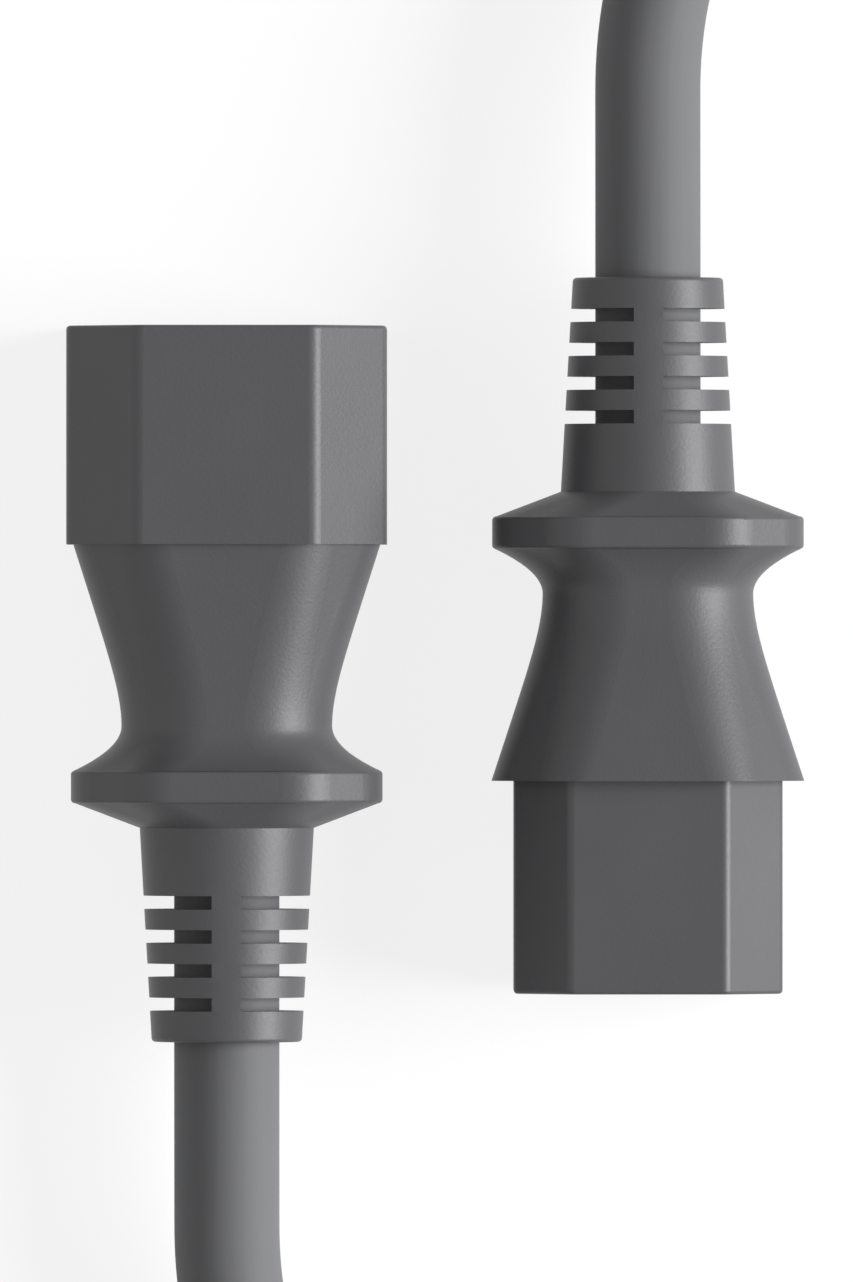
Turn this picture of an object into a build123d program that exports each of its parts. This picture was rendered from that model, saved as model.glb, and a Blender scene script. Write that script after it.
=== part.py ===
from build123d import *

import os
from math import hypot, pi, radians, sqrt, tan

# Power extension lead: a shrouded plug with three blades at one end, a connector with three slots at
# the other, and one round cord. The ends lie side by side, nose to tail, with their chamfered sides up,
# and the cord makes one open loop beside them. Millimetres, Z up, origin between the ends on the floor.

# Mating outline, shared by the connector's nose and the plug's cavity
nose_width = 24.0
nose_height = 16.0
nose_chamfer_width = 5.0
nose_chamfer_height = 5.4
nose_edge_radius = 1.0
cavity_edge_radius = 0.35
mating_clearance = 0.3

# Blades of the plug, and their places around the axis
blade_thickness = 2.0
blade_height = 4.0
blade_edge_radius = 0.5
blade_tip_chamfer = 0.4
blade_spacing = 14.0
line_drop = 2.8
earth_rise = 1.2
line_recess = 3.6
earth_recess = 2.8
slot_clearance = 0.3
slot_corner_radius = 1.1
contact_grip_clearance = 0.05

# Plug shroud and the block that closes the bottom of its cavity
shroud_wall = 2.0
shroud_edge_radius = 1.5
shroud_length = 19.5
cavity_depth = 16.0
pin_block_plate = 2.6
boss_end = 25.0
boss_wall = 1.5
boss_corner_radius = 1.5

# Connector nose
nose_length = 19.0
nose_seat = 1.5
nose_front_wall = 1.5
contact_socket_end = 16.0
contact_sheet = 0.5
contact_seam = 0.8

# Grip, flange and cone, the same on both ends; distances run from the front of the nose
grip_step = 0.6
skirt_overhang = 1.95
waist_distance = 35.7
waist_width = 18.8
waist_height = 15.6
waist_cut = 4.6
waist_upper_flat = 0.3
waist_side_flat = 0.9
flange_start = 39.7
flange_end = 42.6
flange_width = 27.8
flange_cut = 6.4
flange_edge_radius = 0.35
flare_inset = 0.25
cone_end = 44.8
cone_step = 0.2
shoulder_radius = 6.0
front_base_radius = 3.0
back_base_radius = 5.0
rim_radius = 0.35
# The grip narrows almost straight and ends level at the waist, the later the higher the power, and
# flares with the square of the way past it
taper_power = 6.0
loft_spans = 5

# Strain relief: a round sleeve with slots from both sides and a spine above and below
sleeve_radius_front = 7.9
sleeve_radius_end = 6.7
end_length = 63.9
slot_start = 50.85
slot_length = 1.2
slot_pitch = 3.03
slot_rows = 4
spine_width = 2.6

# Cord, its cores and their ends in the crimps
cord_diameter = 9.4
core_diameter = 3.0
wire_diameter = 1.6
core_ring_x = 1.75
core_ring_low = 1.0
core_ring_high = 2.0
sheath_start = 41.0
crimp_length = 4.5
crimp_depth = 4.0
crimp_wall = 0.7
core_straight = 1.5
core_bend = 3.5

# How the two ends lie
end_spacing = 37.6
nose_setback = 2.15
cord_straight = 2.6

# The waist's roundings leave only these narrow flats on its cut corners and on its sides
waist_turn = tan(radians(22.5))
waist_upper_radius = (sqrt(2) * waist_cut - waist_upper_flat) / (2 * waist_turn)
waist_lower_radius = waist_height - waist_cut - waist_turn * waist_upper_radius - waist_side_flat

shroud_growth = mating_clearance + shroud_wall
plug_width = nose_width + 2 * shroud_growth
skirt_width = nose_width + 2 * skirt_overhang
plug_axis_height = nose_height / 2 + shroud_growth
connector_axis_height = nose_height / 2 + skirt_overhang
middle_shift = (plug_width - skirt_width) / 4
plug_x = middle_shift - end_spacing / 2
connector_x = middle_shift + end_spacing / 2
nose_y = end_length / 2 - nose_setback
crimp_end = boss_end + crimp_length

# X, Y of the nose's front, height of the axis, and the way along Y from the nose to the cord
plug_end = (plug_x, nose_y, plug_axis_height, -1)
connector_end = (connector_x, -nose_y, connector_axis_height, 1)

# The three ways through each end: name, sideways, height, recess of the blade, place in the cord
ways = (
    ("line", -blade_spacing / 2, -line_drop, line_recess, (-core_ring_x, -core_ring_low)),
    ("neutral", blade_spacing / 2, -line_drop, line_recess, (core_ring_x, -core_ring_low)),
    ("earth", 0.0, earth_rise, earth_recess, (0.0, core_ring_high)),
)


# Plane across an end at a distance from its nose: local Y is up, and its normal points to the cord
def station(end, distance):
    x, y, height, way = end
    return Plane(origin=(x, y + way * distance, height), x_dir=(-way, 0, 0), z_dir=(0, way, 0))


def spot(end, sideways, up, distance):
    return station(end, distance).from_local_coords((sideways, up, 0))


# Outline with two cut upper corners; the upper four corners share one radius, the lower two another
def outline(width, height, cut_width, cut_height, upper_radius, lower_radius):
    side = width / 2
    top = height / 2
    corners = (
        (-side, -top),
        (side, -top),
        (side, top - cut_height),
        (side - cut_width, top),
        (cut_width - side, top),
        (-side, top - cut_height),
    )
    radii = [lower_radius] * 2 + [upper_radius] * 4
    with BuildSketch() as drawn:
        with BuildLine():
            FilletPolyline(*corners, radius=radii, close=True)
        make_face()
    return drawn.sketch_local


# How wide and high the cut corners are on the mating outline grown by the same amount all round
def grown_cuts(growth):
    slant = hypot(nose_chamfer_width, nose_chamfer_height)
    across = nose_chamfer_height / slant
    upward = nose_chamfer_width / slant
    cut_width = nose_chamfer_width + growth * (1 - (1 - upward) / across)
    cut_height = nose_chamfer_height + growth * (1 - (1 - across) / upward)
    return cut_width, cut_height


def mating_outline(growth, radius):
    width = nose_width + 2 * growth
    height = nose_height + 2 * growth
    return outline(width, height, *grown_cuts(growth), radius, radius)


def mix(first, last, share):
    return first + (last - first) * share


# Waisted grip: a taper from its front to the waist, then a flare to the flange
def grip_body(end, front_distance, growth):
    front_size = (nose_width + 2 * growth, nose_height + 2 * growth)
    front = (*front_size, *grown_cuts(growth), shoulder_radius, front_base_radius)
    waist_size = (waist_width, waist_height)
    waist = (*waist_size, waist_cut, waist_cut, waist_upper_radius, waist_lower_radius)
    back_size = (flange_width - 2 * flare_inset, 2 * (end[2] - flare_inset))
    back = (*back_size, flange_cut, flange_cut, shoulder_radius, back_base_radius)
    steps = [step / loft_spans for step in range(loft_spans + 1)]
    with BuildPart() as body:
        for step in steps:
            narrowing = (taper_power * step - step**taper_power) / (taper_power - 1)
            sizes = [mix(first, last, narrowing) for first, last in zip(front, waist)]
            with BuildSketch(station(end, mix(front_distance, waist_distance, step))):
                add(outline(*sizes))
        loft()
        for step in steps:
            sizes = [mix(first, last, step**2) for first, last in zip(waist, back)]
            with BuildSketch(station(end, mix(waist_distance, flange_start, step))):
                add(outline(*sizes))
        loft()
    return body.part


# Flange as high as the end, so that the end lies level, with the cone behind it
def flange_body(end):
    height = 2 * end[2]
    rim = (flange_cut, flange_cut, shoulder_radius, back_base_radius)
    cone_size = 2 * sleeve_radius_front - cone_step
    cone_cut = cone_size * (1 - sqrt(0.5))
    with BuildPart() as body:
        with BuildSketch(station(end, flange_start)):
            add(outline(flange_width, height, *rim))
        extrude(amount=flange_end - flange_start)
        fillet(faces().filter_by(Axis.Y).edges(), flange_edge_radius)
        with BuildSketch(station(end, flange_end)):
            add(outline(flange_width - 2 * flange_edge_radius, height - 2 * flange_edge_radius, *rim))
        with BuildSketch(station(end, cone_end)):
            add(outline(cone_size, cone_size, cone_cut, cone_cut, *[cone_size / 2 - cone_step] * 2))
        loft()
    return body.part


# Strain relief sleeve, from the flange to the end
def sleeve_body(end):
    with BuildPart() as body:
        with BuildSketch(station(end, flange_end)):
            Circle(sleeve_radius_front)
        with BuildSketch(station(end, end_length)):
            Circle(sleeve_radius_end)
        loft()
        fillet(body.faces().sort_by(Axis.Y)[-1 if end[3] > 0 else 0].edges(), rim_radius)
        for row in range(slot_rows):
            with BuildSketch(station(end, slot_start + row * slot_pitch)):
                Circle(2 * sleeve_radius_front)
                Rectangle(spine_width, 4 * sleeve_radius_front, mode=Mode.SUBTRACT)
            extrude(amount=slot_length, mode=Mode.SUBTRACT)
    return body.part


# Boss that carries the three tails, from a distance to the boss's end
def boss_body(end, start):
    width = blade_spacing + blade_thickness + 2 * boss_wall
    top = earth_rise + blade_height / 2 + boss_wall
    bottom = -line_drop - blade_height / 2 - boss_wall
    with BuildPart() as body:
        with BuildSketch(station(end, start)):
            with Locations((0, (top + bottom) / 2)):
                RectangleRounded(width, top - bottom, boss_corner_radius)
        extrude(amount=boss_end - start)
    return body.part


# Barrel behind a blade or a contact, with its bore from the cord's side
def crimp_body(end, sideways, up):
    with BuildPart() as body:
        with BuildSketch(station(end, boss_end)):
            with Locations((sideways, up)):
                Circle(wire_diameter / 2 + crimp_wall)
        extrude(amount=crimp_length)
        with BuildSketch(station(end, crimp_end - crimp_depth)):
            with Locations((sideways, up)):
                Circle(wire_diameter / 2)
        extrude(amount=crimp_depth, mode=Mode.SUBTRACT)
    return body.part


# Path of one core, from a distance in or behind its crimp to the cut end of the sheath
def core_path(end, sideways, up, in_cord, start):
    with BuildLine() as path:
        FilletPolyline(
            spot(end, sideways, up, start),
            spot(end, sideways, up, crimp_end + core_straight),
            spot(end, *in_cord, sheath_start - core_straight),
            spot(end, *in_cord, sheath_start),
            radius=core_bend,
        )
    return path.wires()[0]


def finish(builder, label):
    builder.part.label = label
    export_step(builder.part, f"parts/{label}.step")
    print(f"{label}: {builder.part.volume:.1f} cubic mm, {len(builder.part.solids())} solid")


os.makedirs("parts", exist_ok=True)

# Cord: straight out of the plug, down to the floor, round one open loop, up into the connector.
# The points between the ends are chosen by eye, for bends as wide as a thick cord takes.
floor_height = cord_diameter / 2
cord_points = [
    spot(plug_end, 0, 0, sheath_start),
    spot(plug_end, 0, 0, end_length + cord_straight),
    Vector(plug_x, -64.5, 7.2),
    Vector(-1.5, -88.0, floor_height + 0.3),
    Vector(32.0, -98.0, floor_height),
    Vector(68.0, -84.5, floor_height),
    Vector(92.0, -43.5, floor_height),
    Vector(107.0, 14.5, floor_height),
    Vector(107.5, 60.0, floor_height),
    Vector(92.0, 86.0, floor_height),
    Vector(63.5, 97.0, floor_height),
    Vector(36.0, 88.5, floor_height + 0.3),
    Vector(connector_x, 65.0, 7.0),
    spot(connector_end, 0, 0, end_length + cord_straight),
    spot(connector_end, 0, 0, sheath_start),
]
runs = [after - before for before, after in zip(cord_points, cord_points[1:])]
turns = [before.get_angle(after) for before, after in zip(runs, runs[1:])]
bend_radii = [
    0.45 * min(before.length, after.length) / tan(radians(turn) / 2)
    for before, after, turn in zip(runs, runs[1:], turns)
]
with BuildPart() as cord_sheath:
    with BuildLine() as cord_line:
        FilletPolyline(*cord_points, radius=bend_radii)
    with BuildSketch(station(plug_end, sheath_start)):
        Circle(cord_diameter / 2)
    sweep(path=cord_line.wires()[0])
finish(cord_sheath, "cord_sheath")

cord_length = cord_line.wires()[0].length
print("bend radii:", [round(radius, 1) for radius in bend_radii])
print(f"cord length {cord_length:.1f}, free length {cord_length - 2 * (end_length - sheath_start):.1f}")
print(f"section times length {pi * (cord_diameter / 2) ** 2 * cord_length:.0f}")

# Copper wires and their insulation, from the crimps to the cut ends of the sheath
inner_parts = {"plug": [], "connector": []}
for end_name, end in (("plug", plug_end), ("connector", connector_end)):
    for way_name, sideways, up, recess, in_cord in ways:
        wire_start = crimp_end - crimp_depth
        with BuildPart() as wire:
            with BuildSketch(station(end, wire_start)):
                with Locations((sideways, up)):
                    Circle(wire_diameter / 2)
            sweep(path=core_path(end, sideways, up, in_cord, wire_start))
        finish(wire, f"{end_name}_{way_name}_wire")

        with BuildPart() as core:
            with BuildSketch(station(end, crimp_end)):
                with Locations((sideways, up)):
                    Circle(core_diameter / 2)
                    Circle(wire_diameter / 2, mode=Mode.SUBTRACT)
            sweep(path=core_path(end, sideways, up, in_cord, crimp_end))
        finish(core, f"{end_name}_{way_name}_core")
        inner_parts[end_name] += [wire.part, core.part]

# Blades of the plug, each in one piece with its crimp
blades = []
for way_name, sideways, up, recess, in_cord in ways:
    with BuildPart() as blade:
        with BuildSketch(station(plug_end, recess)):
            with Locations((sideways, up)):
                RectangleRounded(blade_thickness, blade_height, blade_edge_radius)
        extrude(amount=boss_end - recess)
        chamfer(faces().sort_by(Axis.Y)[-1].edges(), blade_tip_chamfer)
        add(crimp_body(plug_end, sideways, up))
    finish(blade, f"plug_{way_name}_pin")
    blades.append(blade.part)

# Block at the bottom of the cavity, which holds the blades
with BuildPart() as plug_pin_block:
    with BuildSketch(station(plug_end, cavity_depth)):
        add(mating_outline(mating_clearance, cavity_edge_radius))
    extrude(amount=pin_block_plate)
    add(boss_body(plug_end, cavity_depth + pin_block_plate))
    add(blades, mode=Mode.SUBTRACT)
finish(plug_pin_block, "plug_pin_block")

# Moulded cover of the plug: shroud, grip, flange and strain relief round everything inside
with BuildPart() as plug_cover:
    with BuildSketch(station(plug_end, 0)):
        add(mating_outline(shroud_growth, shroud_edge_radius))
    extrude(amount=shroud_length)
    fillet(faces().sort_by(Axis.Y)[-1].edges(), rim_radius)
    add(grip_body(plug_end, shroud_length, shroud_growth - grip_step))
    add(flange_body(plug_end))
    add(sleeve_body(plug_end))
    with BuildSketch(station(plug_end, 0)):
        add(mating_outline(mating_clearance, cavity_edge_radius))
    extrude(amount=cavity_depth, mode=Mode.SUBTRACT)
    add([plug_pin_block.part, cord_sheath.part, *blades, *inner_parts["plug"]], mode=Mode.SUBTRACT)
finish(plug_cover, "plug_cover")

# Contacts of the connector: a folded socket with a seam, a tail and a crimp, each in one piece
contacts = []
socket_inside = [size + 2 * contact_grip_clearance for size in (blade_thickness, blade_height)]
socket_outside = [size + 2 * contact_sheet for size in socket_inside]
for way_name, sideways, up, recess, in_cord in ways:
    with BuildPart() as contact:
        with BuildSketch(station(connector_end, nose_front_wall)):
            with Locations((sideways, up)):
                Rectangle(*socket_outside)
                Rectangle(*socket_inside, mode=Mode.SUBTRACT)
            with Locations((sideways, up + blade_height / 2)):
                Rectangle(contact_seam, blade_height / 2, mode=Mode.SUBTRACT)
        extrude(amount=contact_socket_end - nose_front_wall)
        with BuildSketch(station(connector_end, contact_socket_end)):
            with Locations((sideways, up)):
                Rectangle(*socket_outside)
        extrude(amount=contact_sheet)
        with BuildSketch(station(connector_end, contact_socket_end + contact_sheet)):
            with Locations((sideways, up)):
                Rectangle(blade_thickness, blade_height)
        extrude(amount=boss_end - contact_socket_end - contact_sheet)
        add(crimp_body(connector_end, sideways, up))
    finish(contact, f"connector_{way_name}_contact")
    contacts.append(contact.part)

# Nose of the connector: slots in its front wall open into the chambers that hold the contacts
slot_width = blade_thickness + 2 * slot_clearance
slot_height = blade_height + 2 * slot_clearance
way_spots = [(sideways, up) for way_name, sideways, up, recess, in_cord in ways]
with BuildPart() as connector_nose:
    with BuildSketch(station(connector_end, 0)):
        add(mating_outline(0, nose_edge_radius))
    extrude(amount=nose_length + nose_seat)
    fillet(faces().sort_by(Axis.Y)[0].edges(), rim_radius)
    add(boss_body(connector_end, nose_length + nose_seat))
    with BuildSketch(station(connector_end, 0)):
        with Locations(way_spots):
            RectangleRounded(slot_width, slot_height, slot_corner_radius)
    extrude(amount=nose_front_wall, mode=Mode.SUBTRACT)
    with BuildSketch(station(connector_end, nose_front_wall)):
        with Locations(way_spots):
            Rectangle(*socket_outside)
    extrude(amount=contact_socket_end + contact_sheet - nose_front_wall, mode=Mode.SUBTRACT)
    add(contacts, mode=Mode.SUBTRACT)
finish(connector_nose, "connector_nose")

# Moulded cover of the connector, with its skirt round the seat of the nose
with BuildPart() as connector_cover:
    add(grip_body(connector_end, nose_length, skirt_overhang))
    add(flange_body(connector_end))
    add(sleeve_body(connector_end))
    add([connector_nose.part, cord_sheath.part, *contacts, *inner_parts["connector"]], mode=Mode.SUBTRACT)
finish(connector_cover, "connector_cover")
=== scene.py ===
import math

import bpy
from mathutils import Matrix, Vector


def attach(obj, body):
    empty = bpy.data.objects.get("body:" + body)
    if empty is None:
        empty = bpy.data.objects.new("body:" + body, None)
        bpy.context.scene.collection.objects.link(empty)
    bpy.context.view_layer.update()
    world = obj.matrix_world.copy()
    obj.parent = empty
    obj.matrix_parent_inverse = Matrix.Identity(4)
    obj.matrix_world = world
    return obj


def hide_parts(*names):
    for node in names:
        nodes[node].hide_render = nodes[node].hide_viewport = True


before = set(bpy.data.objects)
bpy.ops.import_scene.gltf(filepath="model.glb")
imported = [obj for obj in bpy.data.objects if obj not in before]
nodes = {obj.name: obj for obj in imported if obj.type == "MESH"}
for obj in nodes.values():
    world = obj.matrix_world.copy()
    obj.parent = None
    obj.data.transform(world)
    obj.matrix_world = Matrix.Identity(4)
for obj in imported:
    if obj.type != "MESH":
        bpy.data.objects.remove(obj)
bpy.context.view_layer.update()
mm = 0.001

# Camera, straight over the lead as the drawing looks at it
cameraSettings = {
    "pixelsWide": 853,
    "pixelsHigh": 1282,
    "pixelsPerMm": 11.2,
    "originPixel": (435.4, 659.75),  # where the frame's origin lies in the drawing
    "planeHeight": 10.0,  # mm over the floor, where the widest outlines lie
    "lens": 800.0,  # mm, long because the drawing has no perspective
    "sensor": 36.0,  # mm
    "clip": (0.05, 20.0),  # m
}


def makeCamera(s):
    across = (s["pixelsWide"] / 2 - s["originPixel"][0]) / s["pixelsPerMm"]
    up = (s["originPixel"][1] - s["pixelsHigh"] / 2) / s["pixelsPerMm"]
    halfHeight = s["pixelsHigh"] / s["pixelsPerMm"] / 2
    distance = halfHeight * s["lens"] / (s["sensor"] / 2)
    data = bpy.data.cameras.new("camera")
    data.lens = s["lens"]
    data.sensor_width = s["sensor"]
    data.clip_start, data.clip_end = s["clip"]
    data.dof.use_dof = False
    camera = bpy.data.objects.new("camera", data)
    camera.location = Vector((across, up, s["planeHeight"] + distance)) * mm
    bpy.context.collection.objects.link(camera)
    bpy.context.scene.camera = camera
    bpy.context.scene.view_settings.view_transform = "Standard"


makeCamera(cameraSettings)
print("camera made")


# Helpers for node trees
noiseMiddle = 0.5


def addNode(tree, kind, **values):
    node = tree.nodes.new(kind)
    for key, value in values.items():
        setattr(node, key, value)
    return node


def mathNode(tree, operation, *given):
    node = addNode(tree, "ShaderNodeMath", operation=operation)
    for socket, value in zip(node.inputs, given):
        if isinstance(value, (int, float)):
            socket.default_value = value
        else:
            tree.links.new(value, socket)
    return node.outputs[0]


def scaledVector(tree, vector, scale):
    node = addNode(tree, "ShaderNodeVectorMath", operation="SCALE")
    tree.links.new(vector, node.inputs[0])
    tree.links.new(scale, node.inputs["Scale"])
    return node.outputs[0]


def noise(tree, place, scale, detail):
    node = addNode(tree, "ShaderNodeTexNoise")
    node.inputs["Detail"].default_value = detail
    tree.links.new(place, node.inputs["Vector"])
    if isinstance(scale, (int, float)):
        node.inputs["Scale"].default_value = scale
    else:
        tree.links.new(scale, node.inputs["Scale"])
    return node.outputs[0]


def newGroup(name, inputs, outputs):
    tree = bpy.data.node_groups.new(name, "ShaderNodeTree")
    for label, kind, value in inputs:
        socket = tree.interface.new_socket(label, in_out="INPUT", socket_type=kind)
        if value is not None:
            socket.default_value = value
    for label, kind in outputs:
        tree.interface.new_socket(label, in_out="OUTPUT", socket_type=kind)
    return tree, tree.nodes.new("NodeGroupInput").outputs, tree.nodes.new("NodeGroupOutput").inputs


# What each skin gives back: its colour, its gloss, and the height of its relief
skinOutputs = [
    ("Color", "NodeSocketColor"),
    ("Roughness", "NodeSocketFloat"),
    ("Height", "NodeSocketFloat"),
]

# Moulded skin: spark-eroded grain, slow colour drift and small changes of gloss
mouldedSettings = {
    "driftScale": 90.0,  # cells in a metre
    "driftDetail": 3.0,
    "grainDetail": 4.0,
}


def makeMouldedSkin(s):
    tree, given, out = newGroup(
        "mouldedSkin",
        [
            ("Place", "NodeSocketVector", None),
            ("Color", "NodeSocketColor", (0.1, 0.1, 0.1, 1)),
            ("Drift", "NodeSocketFloat", 0.18),
            ("Grain Size", "NodeSocketFloat", 0.25),  # mm
            ("Roughness", "NodeSocketFloat", 0.45),
            ("Roughness Spread", "NodeSocketFloat", 0.08),
        ],
        skinOutputs,
    )
    drift = noise(tree, given["Place"], s["driftScale"], s["driftDetail"])
    slow = mathNode(tree, "SUBTRACT", drift, noiseMiddle)
    grainScale = mathNode(tree, "DIVIDE", 1 / mm, given["Grain Size"])
    grain = noise(tree, given["Place"], grainScale, s["grainDetail"])
    fine = mathNode(tree, "SUBTRACT", grain, noiseMiddle)
    level = mathNode(tree, "MULTIPLY_ADD", slow, given["Drift"], 1.0)
    tree.links.new(scaledVector(tree, given["Color"], level), out["Color"])
    mixed = mathNode(tree, "ADD", slow, fine)
    tree.links.new(
        mathNode(tree, "MULTIPLY_ADD", mixed, given["Roughness Spread"], given["Roughness"]),
        out["Roughness"],
    )
    tree.links.new(grain, out["Height"])
    return tree


# Mould seam: the hair-fine ridge where the two halves of a mould met, at one height
def makeMouldSeam():
    tree, given, out = newGroup(
        "mouldSeam",
        [
            ("Place", "NodeSocketVector", None),
            ("Level", "NodeSocketFloat", 10.0),  # mm
            ("Width", "NodeSocketFloat", 0.12),  # mm
        ],
        [("Ridge", "NodeSocketFloat")],
    )
    split = addNode(tree, "ShaderNodeSeparateXYZ")
    tree.links.new(given["Place"], split.inputs[0])
    height = mathNode(tree, "DIVIDE", split.outputs["Z"], mm)
    away = mathNode(tree, "ABSOLUTE", mathNode(tree, "SUBTRACT", height, given["Level"]))
    share = mathNode(tree, "DIVIDE", away, given["Width"])
    ridge = mathNode(tree, "SUBTRACT", 1.0, mathNode(tree, "MINIMUM", share, 1.0))
    tree.links.new(ridge, out["Ridge"])
    return tree


# Extruded skin: faint lengthwise lines from the die over a soft matte sheath
extrudedSettings = {
    "stretch": (1.0, 1.0, 0.03),  # the lines run along the tube's own length
    "lineDetail": 2.0,
    "driftScale": 60.0,  # cells in a metre
    "driftDetail": 2.0,
}


def makeExtrudedSkin(s):
    tree, given, out = newGroup(
        "extrudedSkin",
        [
            ("Place", "NodeSocketVector", None),
            ("Color", "NodeSocketColor", (0.1, 0.1, 0.1, 1)),
            ("Drift", "NodeSocketFloat", 0.14),
            ("Line Size", "NodeSocketFloat", 0.5),  # mm
            ("Roughness", "NodeSocketFloat", 0.5),
            ("Roughness Spread", "NodeSocketFloat", 0.1),
        ],
        skinOutputs,
    )
    stretch = addNode(tree, "ShaderNodeVectorMath", operation="MULTIPLY")
    stretch.inputs[1].default_value = s["stretch"]
    tree.links.new(given["Place"], stretch.inputs[0])
    lineScale = mathNode(tree, "DIVIDE", 1 / mm, given["Line Size"])
    lines = noise(tree, stretch.outputs[0], lineScale, s["lineDetail"])
    slow = noise(tree, given["Place"], s["driftScale"], s["driftDetail"])
    mixed = mathNode(tree, "SUBTRACT", mathNode(tree, "ADD", lines, slow), 2 * noiseMiddle)
    level = mathNode(tree, "MULTIPLY_ADD", mixed, given["Drift"], 1.0)
    tree.links.new(scaledVector(tree, given["Color"], level), out["Color"])
    tree.links.new(
        mathNode(tree, "MULTIPLY_ADD", mixed, given["Roughness Spread"], given["Roughness"]),
        out["Roughness"],
    )
    tree.links.new(lines, out["Height"])
    return tree


# Drawn metal: fine streaks along the lead's length
metalSettings = {
    "streakScale": (5400.0, 270.0, 5400.0),  # cells in a metre
    "streakDetail": 3.0,
    "darkest": 0.92,  # share of the colour
    "colorSpread": 0.16,
    "roughnessSpread": 0.25,
}


def makeDrawnMetal(s):
    tree, given, out = newGroup(
        "drawnMetal",
        [
            ("Place", "NodeSocketVector", None),
            ("Color", "NodeSocketColor", (0.8, 0.8, 0.8, 1)),
            ("Roughness", "NodeSocketFloat", 0.25),
        ],
        skinOutputs,
    )
    stretch = addNode(tree, "ShaderNodeVectorMath", operation="MULTIPLY")
    stretch.inputs[1].default_value = s["streakScale"]
    tree.links.new(given["Place"], stretch.inputs[0])
    streaks = noise(tree, stretch.outputs[0], 1, s["streakDetail"])
    level = mathNode(tree, "MULTIPLY_ADD", streaks, s["colorSpread"], s["darkest"])
    tree.links.new(scaledVector(tree, given["Color"], level), out["Color"])
    spread = mathNode(tree, "SUBTRACT", streaks, noiseMiddle)
    tree.links.new(
        mathNode(tree, "MULTIPLY_ADD", spread, s["roughnessSpread"], given["Roughness"]),
        out["Roughness"],
    )
    tree.links.new(streaks, out["Height"])
    return tree


skins = {
    "moulded": makeMouldedSkin(mouldedSettings),
    "extruded": makeExtrudedSkin(extrudedSettings),
    "metal": makeDrawnMetal(metalSettings),
}
mouldSeam = makeMouldSeam()
print("skins made")

# Both covers are one kind of plastic, with the seam at each end's own middle height. Depths, grain
# and line sizes and seam levels are in mm
overmould = {
    "skin": "moulded",
    "skinValues": {"Color": (0.07, 0.07, 0.074, 1), "Grain Size": 0.3, "Roughness": 0.45},
    "shaderValues": {"Specular IOR Level": 0.3},
    "bumpDepth": 0.035,
}
materialSettings = {
    "plugOvermould": {**overmould, "seamLevel": 10.3},
    "connectorOvermould": {**overmould, "seamLevel": 9.95},
    "nosePlastic": {
        "skin": "moulded",
        "skinValues": {"Color": (0.07, 0.07, 0.074, 1), "Grain Size": 0.22, "Roughness": 0.42},
        "shaderValues": {"Specular IOR Level": 0.3},
        "bumpDepth": 0.02,
    },
    "pinBlockPlastic": {
        "skin": "moulded",
        "skinValues": {"Color": (0.012, 0.012, 0.014, 1), "Grain Size": 0.22, "Roughness": 0.38},
        "shaderValues": {"IOR": 1.5},
        "bumpDepth": 0.012,
    },
    "sheathPvc": {
        "skin": "extruded",
        "attribute": "tubePlace",
        "skinValues": {"Color": (0.118, 0.119, 0.123, 1), "Line Size": 0.6, "Roughness": 0.68},
        "shaderValues": {"Specular IOR Level": 0.2},
        "bumpDepth": 0.012,
    },
    "nickelPlate": {
        "skin": "metal",
        "skinValues": {"Color": (0.86, 0.85, 0.82, 1), "Roughness": 0.24},
        "shaderValues": {"Metallic": 1.0},
        "bumpDepth": 0.004,
    },
    "contactBrass": {
        "skin": "metal",
        "skinValues": {"Color": (0.78, 0.62, 0.33, 1), "Roughness": 0.3},
        "shaderValues": {"Metallic": 1.0},
        "bumpDepth": 0.004,
    },
    "wireCopper": {
        "skin": "metal",
        "skinValues": {"Color": (0.82, 0.4, 0.24, 1), "Roughness": 0.32},
        "shaderValues": {"Metallic": 1.0},
        "bumpDepth": 0.01,
    },
    "lineInsulation": {
        "skin": "moulded",
        "skinValues": {"Color": (0.16, 0.06, 0.025, 1), "Grain Size": 0.4, "Roughness": 0.4},
        "shaderValues": {"IOR": 1.5},
        "bumpDepth": 0.01,
    },
    "neutralInsulation": {
        "skin": "moulded",
        "skinValues": {"Color": (0.03, 0.13, 0.5, 1), "Grain Size": 0.4, "Roughness": 0.4},
        "shaderValues": {"IOR": 1.5},
        "bumpDepth": 0.01,
    },
    "earthInsulation": {
        "skin": "moulded",
        "skinValues": {"Color": (0.12, 0.4, 0.07, 1), "Grain Size": 0.4, "Roughness": 0.4},
        "shaderValues": {"IOR": 1.5},
        "bumpDepth": 0.01,
    },
}


# One material: a skin into the shader, with the plain values on the shader's own sockets
reliefSettings = {
    "bumpStrength": 0.6,
    "seamHeight": 2.0,  # over the grain, in times the grain's height
}


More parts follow.
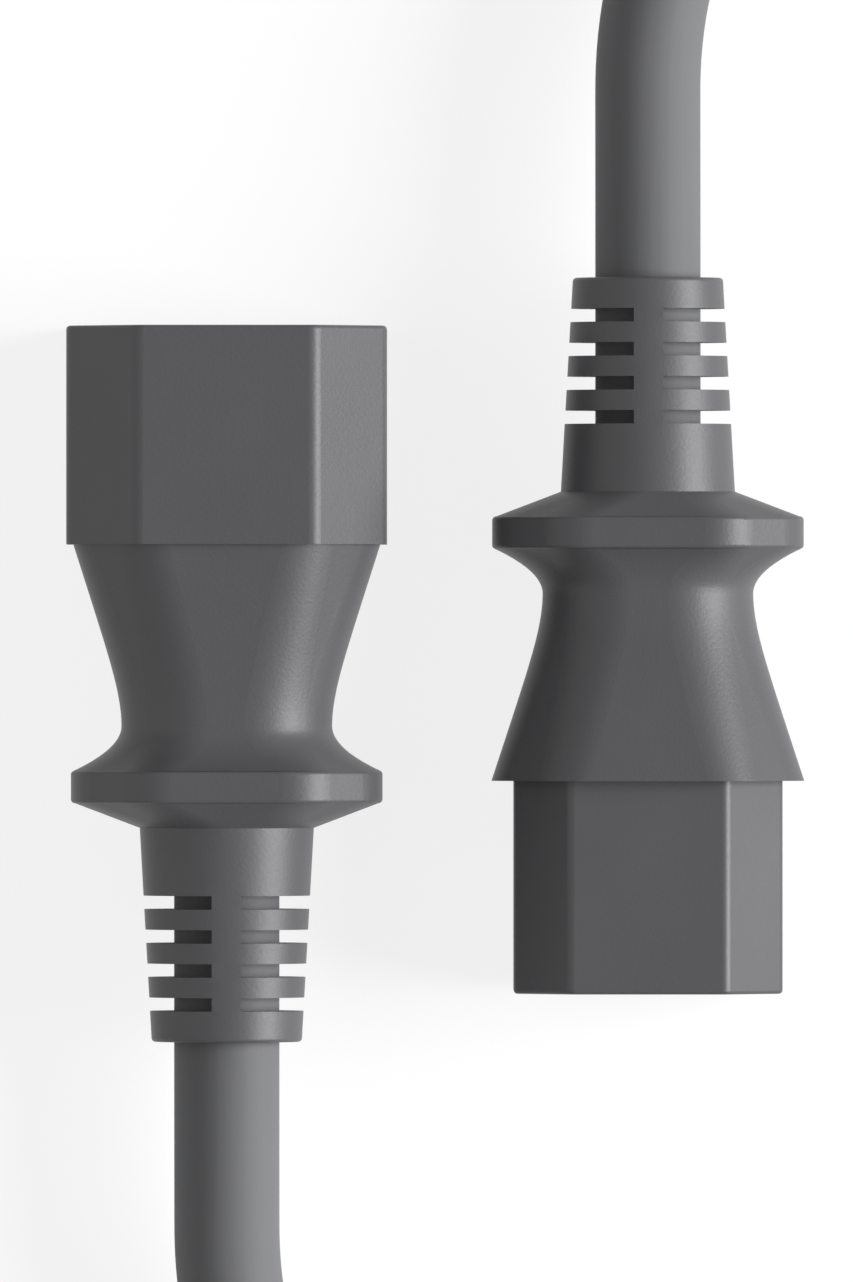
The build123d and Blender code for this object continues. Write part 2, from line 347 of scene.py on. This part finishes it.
def makeMaterial(name, s, relief):
    material = bpy.data.materials.new(name)
    material.use_nodes = True
    tree = material.node_tree
    shader = tree.nodes["Principled BSDF"]
    if "attribute" in s:
        stored = addNode(tree, "ShaderNodeAttribute", attribute_name=s["attribute"])
        place = stored.outputs["Vector"]
    else:
        place = addNode(tree, "ShaderNodeTexCoord").outputs["Object"]
    skin = addNode(tree, "ShaderNodeGroup", node_tree=skins[s["skin"]])
    tree.links.new(place, skin.inputs["Place"])
    for label, value in s["skinValues"].items():
        skin.inputs[label].default_value = value
    tree.links.new(skin.outputs["Color"], shader.inputs["Base Color"])
    tree.links.new(skin.outputs["Roughness"], shader.inputs["Roughness"])
    height = skin.outputs["Height"]
    if "seamLevel" in s:
        seam = addNode(tree, "ShaderNodeGroup", node_tree=mouldSeam)
        tree.links.new(place, seam.inputs["Place"])
        seam.inputs["Level"].default_value = s["seamLevel"]
        height = mathNode(
            tree, "MULTIPLY_ADD", seam.outputs["Ridge"], relief["seamHeight"], height
        )
    bump = addNode(tree, "ShaderNodeBump")
    bump.inputs["Strength"].default_value = relief["bumpStrength"]
    bump.inputs["Distance"].default_value = s["bumpDepth"] * mm
    tree.links.new(height, bump.inputs["Height"])
    tree.links.new(bump.outputs["Normal"], shader.inputs["Normal"])
    for label, value in s["shaderValues"].items():
        shader.inputs[label].default_value = value
    return material


materials = {name: makeMaterial(name, s, reliefSettings) for name, s in materialSettings.items()}
print("materials made")

nodeMaterials = {
    "plug_cover": "plugOvermould",
    "connector_cover": "connectorOvermould",
    "connector_nose": "nosePlastic",
    "plug_pin_block": "pinBlockPlastic",
    "cord_sheath": "sheathPvc",
}
for way in ("line", "neutral", "earth"):
    nodeMaterials[f"plug_{way}_pin"] = "nickelPlate"
    nodeMaterials[f"connector_{way}_contact"] = "contactBrass"
    for end in ("plug", "connector"):
        nodeMaterials[f"{end}_{way}_core"] = f"{way}Insulation"
        nodeMaterials[f"{end}_{way}_wire"] = "wireCopper"

for node, material in nodeMaterials.items():
    nodes[node].data.materials.clear()
    nodes[node].data.materials.append(materials[material])
print("finishes given to", len(nodeMaterials), "nodes")

# Cord: out of the plug, round one open loop past the view, and into the connector, in mm
cordSettings = {
    "diameter": 9.4,
    "length": 470.0,
    "exit": (-18.625, -34.1, 10.2),
    "route": (
        (-18.625, -11.2, 10.3),
        (-18.625, -36.7, 10.75),
        (-18.625, -64.5, 7.2),
        (-1.5, -88.0, 5.0),
        (32.0, -98.0, 4.7),
        (68.0, -84.5, 4.7),
        (92.0, -43.5, 4.7),
        (107.0, 14.5, 4.7),
        (107.5, 60.0, 4.7),
        (92.0, 86.0, 4.7),
        (63.5, 97.0, 4.7),
        (36.0, 88.5, 5.0),
        (18.975, 65.0, 7.0),
        (18.975, 36.7, 10.4),
        (18.975, 11.2, 9.95),
    ),
    "sides": 64,
    "alongSteps": 20,
    "material": "sheathPvc",
}


def socketId(tree, name):
    return next(item.identifier for item in tree.interface.items_tree if item.name == name)


# Tube along a curve, which keeps each point's place on the tube for the lines of the sheath
def makeTubeTree():
    tree = bpy.data.node_groups.new("tubeAlong", "GeometryNodeTree")
    for label, direction, kind in (
        ("Curve", "INPUT", "NodeSocketGeometry"),
        ("Radius", "INPUT", "NodeSocketFloat"),
        ("Sides", "INPUT", "NodeSocketInt"),
        ("Material", "INPUT", "NodeSocketMaterial"),
        ("Mesh", "OUTPUT", "NodeSocketGeometry"),
    ):
        tree.interface.new_socket(label, in_out=direction, socket_type=kind)
    given = tree.nodes.new("NodeGroupInput").outputs
    out = tree.nodes.new("NodeGroupOutput").inputs
    circle = addNode(tree, "GeometryNodeCurvePrimitiveCircle")
    tree.links.new(given["Radius"], circle.inputs["Radius"])
    tree.links.new(given["Sides"], circle.inputs["Resolution"])
    around = addNode(tree, "GeometryNodeCaptureAttribute")
    around.capture_items.new("VECTOR", "Around")
    tree.links.new(circle.outputs["Curve"], around.inputs["Geometry"])
    tree.links.new(addNode(tree, "GeometryNodeInputPosition").outputs[0], around.inputs["Around"])
    along = addNode(tree, "GeometryNodeCaptureAttribute")
    along.capture_items.new("FLOAT", "Along")
    tree.links.new(given["Curve"], along.inputs["Geometry"])
    walked = addNode(tree, "GeometryNodeSplineParameter").outputs["Length"]
    tree.links.new(walked, along.inputs["Along"])
    tube = addNode(tree, "GeometryNodeCurveToMesh")
    tube.inputs["Fill Caps"].default_value = True
    tree.links.new(along.outputs["Geometry"], tube.inputs["Curve"])
    tree.links.new(around.outputs["Geometry"], tube.inputs["Profile Curve"])
    split = addNode(tree, "ShaderNodeSeparateXYZ")
    join = addNode(tree, "ShaderNodeCombineXYZ")
    tree.links.new(around.outputs["Around"], split.inputs[0])
    tree.links.new(split.outputs["X"], join.inputs["X"])
    tree.links.new(split.outputs["Y"], join.inputs["Y"])
    tree.links.new(along.outputs["Along"], join.inputs["Z"])
    store = addNode(tree, "GeometryNodeStoreNamedAttribute", data_type="FLOAT_VECTOR")
    store.domain = "POINT"
    store.inputs["Name"].default_value = "tubePlace"
    tree.links.new(tube.outputs["Mesh"], store.inputs["Geometry"])
    tree.links.new(join.outputs[0], store.inputs["Value"])
    realize = addNode(tree, "GeometryNodeRealizeInstances")
    tree.links.new(store.outputs["Geometry"], realize.inputs["Geometry"])
    finish = addNode(tree, "GeometryNodeSetMaterial")
    tree.links.new(realize.outputs["Geometry"], finish.inputs["Geometry"])
    tree.links.new(given["Material"], finish.inputs["Material"])
    tree.links.new(finish.outputs["Geometry"], out["Mesh"])
    return tree


def makeCord(s):
    data = bpy.data.curves.new("cordRoute", "CURVE")
    data.dimensions = "3D"
    spline = data.splines.new("NURBS")
    spline.points.add(len(s["route"]) - 1)
    for point, place in zip(spline.points, s["route"]):
        point.co = (*(Vector(place) * mm), 1)
    spline.order_u = 3
    spline.use_endpoint_u = True
    data.resolution_u = s["alongSteps"]
    route = bpy.data.objects.new("cordRoute", data)
    bpy.context.collection.objects.link(route)
    line = bpy.data.meshes.new_from_object(route)

    tree = makeTubeTree()
    tube = route.modifiers.new("tube", "NODES")
    tube.node_group = tree
    tube[socketId(tree, "Radius")] = s["diameter"] / 2 * mm
    tube[socketId(tree, "Sides")] = s["sides"]
    tube[socketId(tree, "Material")] = materials[s["material"]]
    made = route.evaluated_get(bpy.context.evaluated_depsgraph_get())
    mesh = bpy.data.meshes.new_from_object(made)
    mesh.shade_smooth()
    bpy.data.objects.remove(route)
    bpy.data.meshes.remove(line)

    cord = bpy.data.objects.new("cord", mesh)
    bpy.context.collection.objects.link(cord)
    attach(cord, "root")
    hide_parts("cord_sheath")
    print("cord made,", len(mesh.polygons), "faces")


makeCord(cordSettings)

# Floor, nearly white to the camera and in reflections, with the lead's soft shadow
floorSettings = {
    "size": 16.0,  # m
    "depth": 0.02,  # mm under the lead
    "color": (0.92, 0.92, 0.92, 1),
    "roughness": 0.9,
    "specular": 0.0,
    "glowShare": 0.8,
    "glowStrength": 1.04,
}


def whiteRays(tree):
    path = addNode(tree, "ShaderNodeLightPath")
    seen = mathNode(tree, "MAXIMUM", path.outputs["Is Camera Ray"], path.outputs["Is Glossy Ray"])
    return mathNode(tree, "MAXIMUM", seen, path.outputs["Is Transmission Ray"])


def makeFloor(s):
    half = s["size"] / 2
    low = -s["depth"] * mm
    mesh = bpy.data.meshes.new("floor")
    corners = [(-half, -half, low), (half, -half, low), (half, half, low), (-half, half, low)]
    mesh.from_pydata(corners, [], [(0, 1, 2, 3)])
    floor = bpy.data.objects.new("floor", mesh)
    bpy.context.collection.objects.link(floor)
    material = bpy.data.materials.new("floorPaper")
    material.use_nodes = True
    tree = material.node_tree
    shader = tree.nodes["Principled BSDF"]
    shader.inputs["Base Color"].default_value = s["color"]
    shader.inputs["Roughness"].default_value = s["roughness"]
    shader.inputs["Specular IOR Level"].default_value = s["specular"]
    glow = addNode(tree, "ShaderNodeEmission")
    glow.inputs["Strength"].default_value = s["glowStrength"]
    mixed = addNode(tree, "ShaderNodeMixShader")
    tree.links.new(mathNode(tree, "MULTIPLY", whiteRays(tree), s["glowShare"]), mixed.inputs["Fac"])
    tree.links.new(shader.outputs[0], mixed.inputs[1])
    tree.links.new(glow.outputs[0], mixed.inputs[2])
    tree.links.new(mixed.outputs[0], tree.nodes["Material Output"].inputs["Surface"])
    floor.data.materials.append(material)


makeFloor(floorSettings)

# Soft light: the main one low on the right, as the drawing is shaded, a weak one on the left, and a
# dim world. A lamp at tilt 0 shines straight down, and its turn runs anticlockwise from the right
lightSettings = {
    "worldStrength": 0.16,
    "lamps": {
        "rightLamp": {"tilt": 65.0, "turn": 1.0, "width": 36.0, "strength": 5.9},
        "leftLamp": {"tilt": -60.0, "turn": 0.0, "width": 60.0, "strength": 0.7},
    },
}


def makeLights(s):
    for name, lamp in s["lamps"].items():
        data = bpy.data.lights.new(name, "SUN")
        data.angle = math.radians(lamp["width"])
        data.energy = lamp["strength"]
        light = bpy.data.objects.new(name, data)
        light.rotation_euler = (0, math.radians(lamp["tilt"]), math.radians(lamp["turn"]))
        light.location = light.rotation_euler.to_matrix() @ Vector((0, 0, 1))
        bpy.context.collection.objects.link(light)
    world = bpy.data.worlds.new("studio")
    bpy.context.scene.world = world
    world.use_nodes = True
    tree = world.node_tree
    background = tree.nodes["Background"]
    rest = 1 - s["worldStrength"]
    strength = mathNode(tree, "MULTIPLY_ADD", whiteRays(tree), rest, s["worldStrength"])
    tree.links.new(strength, background.inputs["Strength"])
    background.inputs["Color"].default_value = (1, 1, 1, 1)


makeLights(lightSettings)
print("floor and lights made")
